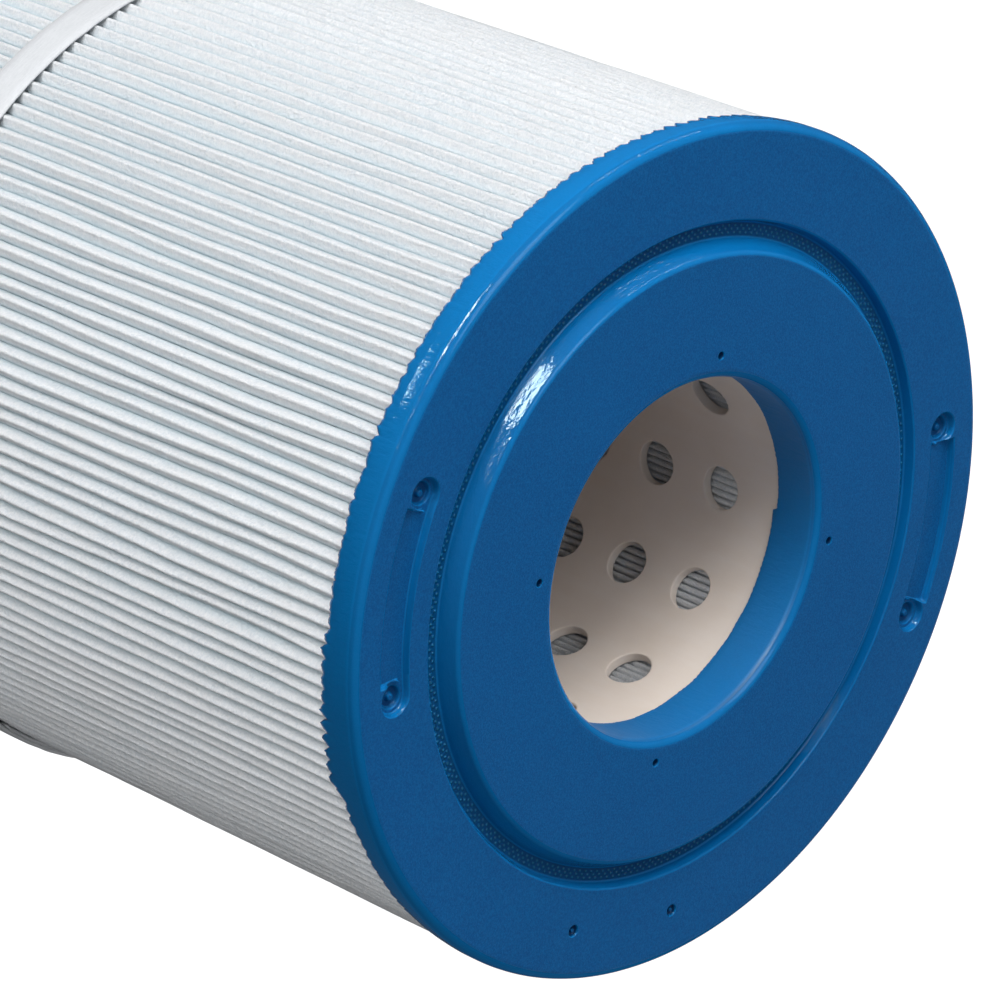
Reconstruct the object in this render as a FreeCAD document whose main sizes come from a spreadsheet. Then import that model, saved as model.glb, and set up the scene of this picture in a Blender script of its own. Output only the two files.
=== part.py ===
import FreeCAD, Part
import math
import os
import re
import Sketcher

# Pool and spa filter cartridge, upright: +Z runs along its axis, the origin is the centre of the
# bottom cap's outer face, and the two maker's plate recesses of each cap lie on the X axis.
# Lengths are in millimetres and angles in degrees.
DIMENSIONS = [
    # whole cartridge
    ("overall_length", 374.65),
    ("cap_radius", 113.5),
    # end cap casting, measured from its outer face: the raised inner disc
    ("bore_radius", 47.8),
    ("bore_depth", 15.1),
    ("bore_rounding", 2.7),
    ("disc_radius", 81.2),
    ("disc_rounding", 2.2),
    ("face_step", 2.5),
    ("groove_inner_radius", 83.0),
    ("groove_outer_radius", 87.4),
    ("groove_mouth_radius", 88.3),
    ("groove_depth", 5.2),
    ("groove_rounding", 0.8),
    ("rim_rounding", 3.0),
    ("skirt_depth", 12.4),
    ("core_seat_depth", 6.0),
    # maker's plate recesses, with the print of a screw head at each end
    ("plate_inner_radius", 95.1),
    ("plate_outer_radius", 104.1),
    ("plate_half_angle", 12.7),
    ("plate_depth", 1.8),
    ("screw_circle_radius", 99.6),
    ("screw_half_angle", 15.05),
    ("screw_recess_radius", 4.4),
    ("screw_head_radius", 2.9),
    ("screw_socket_radius", 0.9),
    ("screw_head_depth", 1.1),
    # small prints in the cap's face
    ("pin_circle_radius", 54.0),
    ("pin_radius", 1.05),
    ("pin_depth", 4.0),
    ("dimple_circle_radius", 99.7),
    ("dimple_half_angle", 10.65),
    ("dimple_radius", 1.7),
    ("dimple_socket_radius", 0.6),
    ("dimple_depth", 1.1),
    # perforated core tube
    ("core_inner_radius", 49.2),
    ("core_wall", 3.0),
    ("core_hole_radius", 6.0),
    ("core_holes_per_row", 11),
    ("core_hole_rows", 14),
    ("core_hole_phase", 4.9),
    ("core_first_row", 35.0),
    # pleated sheet
    ("pleat_count", 174),
    ("pleat_tip_radius", 112.3),
    ("pleat_root_radius", 52.4),
    ("media_thickness", 0.6),
    ("outer_fold_radius", 0.8),
    ("inner_fold_radius", 0.45),
    ("media_inset", 7.5),
    ("seam_angle", -40.0),
    ("seam_bead_depth", 9.0),
    # strap round the middle of the pleats
    ("band_width", 12.4),
    ("band_thickness", 1.0),
    ("band_lap_start", 240.0),
    ("band_lap_angle", 16.0),
]
ALIAS = re.compile(r"\b(" + "|".join(alias for alias, value in DIMENSIONS) + r")\b")
UP = FreeCAD.Vector(0, 0, 1)

doc = FreeCAD.newDocument("filter_cartridge")
sheet = doc.addObject("Spreadsheet::Sheet", "Dimensions")
for row, (alias, value) in enumerate(DIMENSIONS, start=1):
    sheet.set(f"A{row}", alias)
    sheet.set(f"B{row}", str(value))
    sheet.setAlias(f"B{row}", alias)
doc.recompute()


def bind(thing, path, expression):
    """Tie a property to an expression in the sheet's aliases."""
    thing.setExpression(path, ALIAS.sub(r"Dimensions.\1", expression))


def dim(expression):
    """The present value of an expression in the sheet's aliases."""
    return float(sheet.evalExpression(expression))


# ------------------------------------------------------------------ PartDesign helpers


def origin_feature(body, role):
    return next(item for item in body.Origin.OriginFeatures if item.Role == role)


def new_sketch(body, name, plane, lift="0"):
    """A sketch on one of the body's own origin planes, moved along that plane's normal."""
    sketch = body.newObject("Sketcher::SketchObject", name)
    sketch.AttachmentSupport = [(origin_feature(body, plane), "")]
    sketch.MapMode = "FlatFace"
    bind(sketch, ".AttachmentOffset.Base.z", lift)
    return sketch


def constrain(sketch, kind, target, expression):
    """Add a dimension to the sketch and tie it to the sheet."""
    index = sketch.addConstraint(Sketcher.Constraint(kind, *target, dim(expression)))
    bind(sketch, f"Constraints[{index}]", expression)


def locate(sketch, geometry, end, x, y):
    """Fix one point of the geometry at a distance from the sketch's origin."""
    constrain(sketch, "DistanceX", (-1, 1, geometry, end), x)
    constrain(sketch, "DistanceY", (-1, 1, geometry, end), y)


def outline(sketch, corners):
    """A closed run of straight edges; each corner is a pair of expressions."""
    points = [FreeCAD.Vector(dim(x), dim(y), 0) for x, y in corners]
    for start, finish in zip(points, points[1:] + points[:1]):
        sketch.addGeometry(Part.LineSegment(start, finish))
    for i, (x, y) in enumerate(corners):
        sketch.addConstraint(Sketcher.Constraint("Coincident", i - 1 if i else len(points) - 1, 2, i, 1))
        locate(sketch, i, 1, x, y)


def circle(sketch, x, y, radius):
    centre = FreeCAD.Vector(dim(x), dim(y), 0)
    geometry = sketch.addGeometry(Part.Circle(centre, UP, dim(radius)))
    locate(sketch, geometry, 3, x, y)
    constrain(sketch, "Radius", (geometry,), radius)


def ring_sector(sketch, inner, outer, start, finish):
    """Two arcs about the sketch's origin, joined by radial ends at two angles."""
    turns = [math.radians(dim(angle)) for angle in (start, finish)]
    arcs = []
    for radius in (inner, outer):
        whole = Part.Circle(FreeCAD.Vector(), UP, dim(radius))
        arc = sketch.addGeometry(Part.ArcOfCircle(whole, *turns))
        sketch.addConstraint(Sketcher.Constraint("Coincident", arc, 3, -1, 1))
        constrain(sketch, "Radius", (arc,), radius)
        for end, angle in ((1, start), (2, finish)):
            constrain(sketch, "DistanceY", (-1, 1, arc, end), polar(radius, angle)[1])
        arcs.append(arc)
    for end, angle in ((1, start), (2, finish)):
        points = [[dim(part) for part in polar(radius, angle)] for radius in (inner, outer)]
        line = sketch.addGeometry(Part.LineSegment(*[FreeCAD.Vector(*point, 0) for point in points]))
        sketch.addConstraint(Sketcher.Constraint("Coincident", line, 1, arcs[0], end))
        sketch.addConstraint(Sketcher.Constraint("Coincident", line, 2, arcs[1], end))


def polar(radius, angle):
    """The x and y expressions of a point given by radius and angle."""
    return f"({radius}) * cos(({angle}) * 1 deg)", f"({radius}) * sin(({angle}) * 1 deg)"


def must_shrink(body, before, name):
    if not body.Shape.Volume < before - 0.1:
        raise RuntimeError(f"{name} removed nothing")


def pocket(body, name, sketch, depth):
    """Cut a sketch into the body, against the sketch's normal."""
    doc.recompute()
    before = body.Shape.Volume
    feature = body.newObject("PartDesign::Pocket", name)
    feature.Profile = sketch
    feature.Type = "Length"
    bind(feature, "Length", depth)
    doc.recompute()
    must_shrink(body, before, name)
    return feature


def polar_pattern(body, name, features, occurrences):
    """Repeat cuts evenly round the body's Z axis."""
    before = body.Shape.Volume
    pattern = body.newObject("PartDesign::PolarPattern", name)
    pattern.Originals = features
    pattern.Axis = (origin_feature(body, "Z_Axis"), [""])
    pattern.Angle = 360
    bind(pattern, "Occurrences", occurrences)
    body.Tip = pattern
    doc.recompute()
    must_shrink(body, before, name)


def fillet(body, name, rounding, circles):
    """Round the circular edges that have these radii and heights."""
    base = body.Tip
    found = []
    for number, edge in enumerate(base.Shape.Edges, start=1):
        if not isinstance(edge.Curve, Part.Circle):
            continue
        for radius, height in circles:
            off_radius = abs(edge.Curve.Radius - dim(radius))
            off_height = abs(edge.Curve.Center.z - dim(height))
            if max(off_radius, off_height) < 0.01:
                found.append(f"Edge{number}")
    if len(found) < len(circles):
        raise RuntimeError(f"{name} found {len(found)} of {len(circles)} edges")
    feature = body.newObject("PartDesign::Fillet", name)
    feature.Base = (base, found)
    bind(feature, "Radius", rounding)
    doc.recompute()


# ------------------------------------------------------------------ pleated sheet and its seam


def pleat_points():
    """Corner points of one pleat about the X axis, on its +Y side, for each face of the sheet.

    The sheet's middle line wraps half round the outer fold's centre, crosses to the inner fold on
    the tangent common to both, and wraps half round that. Each face of the sheet is listed as
    (top of the outer fold, where the leg leaves it, where the leg meets the inner fold, bottom of
    the inner fold).
    """
    half = dim("media_thickness") / 2
    outer = dim("outer_fold_radius")
    inner = dim("inner_fold_radius")
    turn = math.pi / dim("pleat_count")
    root = FreeCAD.Vector(math.cos(turn), math.sin(turn), 0)
    outer_centre = FreeCAD.Vector(dim("pleat_tip_radius") - outer - half, 0, 0)
    inner_centre = root * (dim("pleat_root_radius") + inner + half)
    across = inner_centre - outer_centre
    reach = across.Length
    along = across / reach
    side = UP.cross(along) * -1
    sine = (outer + inner) / reach
    normal = along * sine + side * math.sqrt(1 - sine**2)
    faces = []
    for offset in (half, -half):
        faces.append(
            (
                outer_centre + FreeCAD.Vector(outer + offset, 0, 0),
                outer_centre + normal * (outer + offset),
                inner_centre - normal * (inner - offset),
                inner_centre - root * (inner - offset),
            )
        )
    return faces


def turned(point, angle):
    return FreeCAD.Rotation(UP, angle).multVec(point)


def mirrored(point):
    return FreeCAD.Vector(point.x, -point.y, 0)


def sheet_face_edges(points):
    """The edges of one face of the whole sheet, from its first end to its last."""
    top, leg_top, leg_foot, bottom = points
    count = int(dim("pleat_count"))
    pitch = 360 / count
    edges = []
    for i in range(count):
        angle = dim("seam_angle") + (i + 0.5) * pitch
        rise = [turned(mirrored(leg_foot), angle), turned(mirrored(leg_top), angle)]
        fall = [turned(leg_top, angle), turned(leg_foot, angle)]
        edges.append(Part.LineSegment(*rise).toShape())
        edges.append(Part.Arc(rise[1], turned(top, angle), fall[0]).toShape())
        edges.append(Part.LineSegment(*fall).toShape())
        if i < count - 1:
            foot = turned(mirrored(leg_foot), angle + pitch)
            edges.append(Part.Arc(fall[1], turned(bottom, angle), foot).toShape())
    return edges


def make_media():
    """One long sheet of non-woven fabric, folded into pleats and standing round the core."""
    out, back = [sheet_face_edges(points) for points in pleat_points()]
    ends = []
    for index, vertex in ((0, 0), (-1, -1)):
        pair = [edges[index].Vertexes[vertex].Point for edges in (out, back)]
        ends.append(Part.LineSegment(*pair).toShape())
    wire = Part.Wire(Part.__sortEdges__(out + back + ends))
    section = doc.addObject("Part::Feature", "pleated_section")
    section.Shape = Part.Face(wire)
    return extrude(section, "pleated_media")


def extrude(section, name):
    """Run a section through the length of the pleat pack, from one potted end to the other."""
    solid = doc.addObject("Part::Extrusion", name)
    solid.Base = section
    solid.DirMode = "Custom"
    solid.Dir = UP
    solid.Solid = True
    bind(solid, "LengthFwd", "overall_length - 2 * media_inset")
    bind(solid, ".Placement.Base.z", "media_inset")
    return solid


def make_seam_bead():
    """The bead of glue that joins the sheet's two ends, deep in the valley between two pleats."""
    facing = pleat_points()[0]
    foot, top = facing[2], facing[1]
    pitch = 360 / dim("pleat_count")
    reach = dim("seam_bead_depth") / (top - foot).Length
    head = foot + (top - foot) * reach
    left = [turned(point, dim("seam_angle") - pitch / 2) for point in (foot, head)]
    right = [turned(mirrored(point), dim("seam_angle") + pitch / 2) for point in (head, foot)]
    corners = left + right
    section = doc.addObject("Part::Feature", "seam_section")
    section.Shape = Part.Face(Part.makePolygon(corners + corners[:1]))
    return extrude(section, "side_seam_bead")


# ------------------------------------------------------------------ core tube


def make_core():
    """The rigid tube inside the pleats, with rows of round holes all along it."""
    body = doc.addObject("PartDesign::Body", "core_tube")
    bind(body, ".Placement.Base.z", "core_seat_depth")
    sketch = new_sketch(body, "core_section", "XY_Plane")
    circle(sketch, "0", "0", "core_inner_radius + core_wall")
    circle(sketch, "0", "0", "core_inner_radius")
    tube = body.newObject("PartDesign::Pad", "core_wall_pad")
    tube.Profile = sketch
    bind(tube, "Length", "overall_length - 2 * core_seat_depth")
    doc.recompute()

    hole = new_sketch(body, "core_hole_sketch", "YZ_Plane")
    circle(hole, "0", "core_first_row - core_seat_depth", "core_hole_radius")
    drilled = body.newObject("PartDesign::Pocket", "core_hole")
    drilled.Profile = hole
    drilled.Type = "Length"
    drilled.Reversed = True
    bind(drilled, "Length", "core_inner_radius + 2 * core_wall")
    before = body.Shape.Volume
    doc.recompute()
    must_shrink(body, before, "core_hole")

    grid = body.newObject("PartDesign::MultiTransform", "core_hole_grid")
    rows = body.newObject("PartDesign::LinearPattern", "core_hole_rows_up")
    rows.Direction = (origin_feature(body, "Z_Axis"), [""])
    bind(rows, "Length", "overall_length - 2 * core_first_row")
    bind(rows, "Occurrences", "core_hole_rows")
    around = body.newObject("PartDesign::PolarPattern", "core_holes_around")
    around.Axis = (origin_feature(body, "Z_Axis"), [""])
    around.Angle = 360
    bind(around, "Occurrences", "core_holes_per_row")
    grid.Originals = [drilled]
    grid.Transformations = [rows, around]
    body.Tip = grid
    before = body.Shape.Volume
    doc.recompute()
    must_shrink(body, before, "core_hole_grid")
    bind(body, ".Placement.Rotation.Angle", "core_hole_phase * 1 deg")
    return body


# ------------------------------------------------------------------ strap


def make_band():
    """A woven strap pulled round the pleat tips, its tail welded over its own first stretch."""
    body = doc.addObject("PartDesign::Body", "centre_band")
    bind(body, ".Placement.Base.z", "(overall_length - band_width) / 2")
    layers = (
        ("band_round", "pleat_tip_radius", "0", None),
        ("band_lap", "pleat_tip_radius + band_thickness", "band_lap_start", "band_lap_angle"),
    )
    for name, inner, start, angle in layers:
        sketch = new_sketch(body, f"{name}_section", "XY_Plane")
        outer = f"{inner} + band_thickness"
        if angle:
            ring_sector(sketch, inner, outer, start, f"{start} + {angle}")
        else:
            circle(sketch, "0", "0", outer)
            circle(sketch, "0", "0", inner)
        pad = body.newObject("PartDesign::Pad", name)
        pad.Profile = sketch
        bind(pad, "Length", "band_width")
        doc.recompute()
    return body


# ------------------------------------------------------------------ end caps

CAP_SECTION = [
    # radius and height of each corner, heights measured from the raised disc's face
    ("bore_radius", "-bore_depth"),
    ("bore_radius", "0"),
    ("disc_radius", "0"),
    ("groove_inner_radius", "-groove_depth"),
    ("groove_outer_radius", "-groove_depth"),
    ("groove_mouth_radius", "-face_step"),
    ("cap_radius", "-face_step"),
    ("cap_radius", "-skirt_depth"),
    ("core_inner_radius + core_wall", "-skirt_depth"),
    ("core_inner_radius + core_wall", "-core_seat_depth"),
    ("core_inner_radius", "-core_seat_depth"),
    ("core_inner_radius", "-bore_depth"),
]


def cast_cap(name):
    """The cap as its mould shapes it, outer face up, with the seat that holds the core's end."""
    body = doc.addObject("PartDesign::Body", f"{name}_casting")
    section = new_sketch(body, f"{name}_section", "XZ_Plane")
    outline(section, CAP_SECTION)
    turned_solid = body.newObject("PartDesign::Revolution", f"{name}_revolution")
    turned_solid.Profile = section
    turned_solid.ReferenceAxis = (section, ["V_Axis"])
    turned_solid.Angle = 360
    doc.recompute()
    fillet(body, f"{name}_bore_edge", "bore_rounding", [("bore_radius", "0")])
    fillet(body, f"{name}_disc_edge", "disc_rounding", [("disc_radius", "0")])
    groove_edges = [
        ("groove_inner_radius", "-groove_depth"),
        ("groove_outer_radius", "-groove_depth"),
        ("groove_mouth_radius", "-face_step"),
    ]
    fillet(body, f"{name}_groove_edges", "groove_rounding", groove_edges)
    fillet(body, f"{name}_rim_edge", "rim_rounding", [("cap_radius", "-face_step")])
    add_plate_recesses(body, name)
    add_small_prints(body, name)
    return body


def add_plate_recesses(body, name):
    """Two blank arc-shaped recesses, each between the prints of the two screws that held a plate."""
    plate = new_sketch(body, f"{name}_plate_sketch", "XY_Plane", "-face_step")
    limits = ("-plate_half_angle", "plate_half_angle")
    ring_sector(plate, "plate_inner_radius", "plate_outer_radius", *limits)
    cuts = [pocket(body, f"{name}_plate", plate, "plate_depth")]
    ends = [polar("screw_circle_radius", f"{sign}screw_half_angle") for sign in ("-", "")]

    recess = new_sketch(body, f"{name}_screw_recess_sketch", "XY_Plane", "-face_step")
    for x, y in ends:
        circle(recess, x, y, "screw_recess_radius")
    cuts.append(pocket(body, f"{name}_screw_recess", recess, "plate_depth"))

    head = new_sketch(body, f"{name}_screw_head_sketch", "XY_Plane", "-face_step - plate_depth")
    for x, y in ends:
        circle(head, x, y, "screw_head_radius")
        circle(head, x, y, "screw_socket_radius")
    cuts.append(pocket(body, f"{name}_screw_head", head, "screw_head_depth"))
    polar_pattern(body, f"{name}_plate_pair", cuts, "2")


def add_small_prints(body, name):
    """Four holes left by the pins that centred the core, and two small screw prints."""
    pin = new_sketch(body, f"{name}_pin_sketch", "XY_Plane")
    circle(pin, "pin_circle_radius", "0", "pin_radius")
    pin_hole = pocket(body, f"{name}_pin_hole", pin, "pin_depth")
    polar_pattern(body, f"{name}_pin_holes", [pin_hole], "4")

    dimples = new_sketch(body, f"{name}_dimple_sketch", "XY_Plane", "-face_step")
    for sign in ("-", "+"):
        x, y = polar("dimple_circle_radius", f"-90 {sign} dimple_half_angle")
        circle(dimples, x, y, "dimple_radius")
        circle(dimples, x, y, "dimple_socket_radius")
    pocket(body, f"{name}_dimples", dimples, "dimple_depth")


def pot_cap(name, casting, potted):
    """The finished cap, with the ends of the pleats and their seam sunk into it."""
    cap = doc.addObject("Part::Cut", name)
    cap.Base = casting
    cap.Tool = potted
    return cap


def make_caps(potted):
    """Two castings from one mould, one at each end, with their outer faces outwards."""
    top = cast_cap("top_end_cap")
    bind(top, ".Placement.Base.z", "overall_length")
    bottom = cast_cap("bottom_end_cap")
    bottom.Placement.Rotation = FreeCAD.Rotation(FreeCAD.Vector(1, 0, 0), 180)
    return [pot_cap("top_end_cap", top, potted), pot_cap("bottom_end_cap", bottom, potted)]


# ------------------------------------------------------------------ assembly


def main():
    media = make_media()
    seam = make_seam_bead()
    core = make_core()
    band = make_band()
    potted = doc.addObject("Part::Compound", "potted_pleats")
    potted.Links = [media, seam]
    doc.recompute()
    caps = make_caps(potted)
    doc.recompute()

    parts = caps + [core, media, seam, band]
    for item in doc.Objects:
        if {"Invalid", "Error"} & set(item.State):
            raise RuntimeError(f"{item.Label} is {item.State}")
    for part in parts:
        if part.Shape.isNull() or not part.Shape.isValid():
            raise RuntimeError(f"{part.Label} has no valid shape")
    os.makedirs("parts", exist_ok=True)
    for part in parts:
        part.Shape.exportStep(os.path.join("parts", f"{part.Label}.step"))
        print(part.Label, len(part.Shape.Solids), "solid", round(part.Shape.Volume), "mm3")


main()
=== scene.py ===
import math

import bpy
import numpy as np
from mathutils import Matrix, Vector


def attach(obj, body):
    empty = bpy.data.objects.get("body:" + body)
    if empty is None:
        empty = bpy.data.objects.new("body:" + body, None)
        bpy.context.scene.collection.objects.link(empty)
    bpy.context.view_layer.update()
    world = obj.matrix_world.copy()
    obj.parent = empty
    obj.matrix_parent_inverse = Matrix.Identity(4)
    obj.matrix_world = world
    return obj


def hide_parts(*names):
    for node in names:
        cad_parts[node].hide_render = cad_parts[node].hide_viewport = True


# Looks for an upright pleated filter cartridge. Shapes are worked out in millimetres, with
# angles in degrees, and turned into metres when each mesh is built.
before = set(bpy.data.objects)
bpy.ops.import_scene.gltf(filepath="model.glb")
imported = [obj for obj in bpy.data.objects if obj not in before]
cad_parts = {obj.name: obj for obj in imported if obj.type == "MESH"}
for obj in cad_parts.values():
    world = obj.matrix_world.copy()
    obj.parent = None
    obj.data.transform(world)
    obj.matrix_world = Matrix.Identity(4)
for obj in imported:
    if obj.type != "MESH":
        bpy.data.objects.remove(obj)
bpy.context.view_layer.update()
MM = 0.001

# Whole cartridge
LENGTH = 374.65
CAP_RADIUS = 113.5
PLEATS = 174
PLEAT_PITCH = 360 / PLEATS
SEAM_ANGLE = -40.0
TIP_RADIUS = 112.3
ROOT_RADIUS = 52.4
BAND_MIDDLE = 186.5
BAND_WIDTH = 12.4

# End cap, measured from its outer face down
BORE_RADIUS = 47.8
BORE_DEPTH = 15.1
FACE_STEP = 2.5
GROOVE_DEPTH = 5.2
SKIRT_DEPTH = 12.4
SKIRT_TOP = 8.2
POTTING_DEPTH = 12.6
CORE_SEAT = 6.0
CORE_INNER = 49.2
CORE_OUTER = 52.2
KNURL_DOTS, KNURL_HEIGHT, KNURL_DOT = 240, 0.3, 0.62
KNURL_RINGS = (84.4, 85.35, 86.3)


def smoothstep(low, high, value):
    t = np.clip((value - low) / (high - low), 0, 1)
    return t * t * (3 - 2 * t)


def turn_gap(a, b):
    """The signed angle from b to a, between -180 and 180 degrees."""
    return (a - b + 180) % 360 - 180


def ripple(seed, angles, rate, terms=9, spread=0.6):
    """A smooth random curve round the axis, about -1 to 1, with near rate waves a turn."""
    rng = np.random.default_rng(seed)
    total = np.zeros(np.shape(angles))
    for _ in range(terms):
        waves = max(1, round(rate * rng.uniform(1 - spread, 1 + spread)))
        total = total + np.cos(np.radians(angles) * waves + rng.uniform(0, 2 * math.pi))
    return total / math.sqrt(terms)


def add_mesh(name, points, faces, materials, face_slots=None, smooth=True):
    """A mesh object from points in millimetres."""
    mesh = bpy.data.meshes.new(name)
    mesh.from_pydata((np.asarray(points, float) * MM).tolist(), [], faces)
    for material in materials:
        mesh.materials.append(material)
    if face_slots is not None:
        mesh.polygons.foreach_set("material_index", face_slots)
    mesh.polygons.foreach_set("use_smooth", [smooth] * len(mesh.polygons))
    mesh.update()
    obj = bpy.data.objects.new(name, mesh)
    bpy.context.scene.collection.objects.link(obj)
    return obj


def even_normals(obj):
    """Large flat faces keep flat shading up to the small rounded edges next to them."""
    modifier = obj.modifiers.new("Even normals", "WEIGHTED_NORMAL")
    modifier.weight = 50
    modifier.keep_sharp = True


# ---------------------------------------------------------------- materials


class Shader:
    """A material's node tree, built one node at a time."""

    def __init__(self, name):
        self.material = bpy.data.materials.new(name)
        self.material.use_nodes = True
        self.tree = self.material.node_tree
        self.tree.nodes.clear()
        self.output = self.node("ShaderNodeOutputMaterial")
        self.surface = self.node("ShaderNodeBsdfPrincipled")
        self.link(self.surface, "BSDF", self.output, "Surface")
        self.position = self.node("ShaderNodeTexCoord").outputs["Object"]

    def node(self, kind, inputs=None, **settings):
        made = self.tree.nodes.new(kind)
        for key, value in settings.items():
            setattr(made, key, value)
        for key, value in (inputs or {}).items():
            if isinstance(value, bpy.types.NodeSocket):
                self.tree.links.new(value, made.inputs[key])
            else:
                made.inputs[key].default_value = value
        return made

    def link(self, source, out, target, into):
        self.tree.links.new(source.outputs[out], target.inputs[into])

    def set(self, **values):
        for key, value in values.items():
            socket = self.surface.inputs[key.replace("_", " ")]
            if isinstance(value, bpy.types.NodeSocket):
                self.tree.links.new(value, socket)
            else:
                socket.default_value = value

    def stretched(self, scale, turn=(0, 0, 0)):
        """Object position with each axis scaled, after a turn in degrees."""
        return self.node(
            "ShaderNodeMapping",
            {"Vector": self.position, "Scale": scale, "Rotation": tuple(map(math.radians, turn))},
        ).outputs["Vector"]

    def noise(self, scale, detail=3.0, rough=0.5, vector=None, warp=0.0):
        return self.node(
            "ShaderNodeTexNoise",
            {
                "Vector": vector or self.position,
                "Scale": scale,
                "Detail": detail,
                "Roughness": rough,
                "Distortion": warp,
            },
        ).outputs["Fac"]

    def remap(self, value, low, high, to_low=0.0, to_high=1.0, soft=False):
        return self.node(
            "ShaderNodeMapRange",
            {"Value": value, "From Min": low, "From Max": high, "To Min": to_low, "To Max": to_high},
            interpolation_type="SMOOTHSTEP" if soft else "LINEAR",
        ).outputs["Result"]

    def math(self, operation, first, second=0.0):
        return self.node(
            "ShaderNodeMath", {0: first, 1: second}, operation=operation
        ).outputs["Value"]

    def mix(self, factor, first, second):
        made = self.node("ShaderNodeMix", data_type="RGBA")
        for index, value in ((0, factor), (6, first), (7, second)):
            if isinstance(value, bpy.types.NodeSocket):
                self.tree.links.new(value, made.inputs[index])
            else:
                made.inputs[index].default_value = value
        return made.outputs[2]

    def bump(self, height, strength, distance, normal=None):
        inputs = {"Height": height, "Strength": strength, "Distance": distance}
        if normal is not None:
            inputs["Normal"] = normal
        return self.node("ShaderNodeBump", inputs).outputs["Normal"]

    def split_position(self):
        return self.node("ShaderNodeSeparateXYZ", {"Vector": self.position})

    def radius(self):
        """Distance from the cartridge's axis, in metres."""
        parts = self.split_position()
        x = self.math("POWER", parts.outputs["X"], 2.0)
        y = self.math("POWER", parts.outputs["Y"], 2.0)
        return self.math("SQRT", self.math("ADD", x, y))


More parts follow.
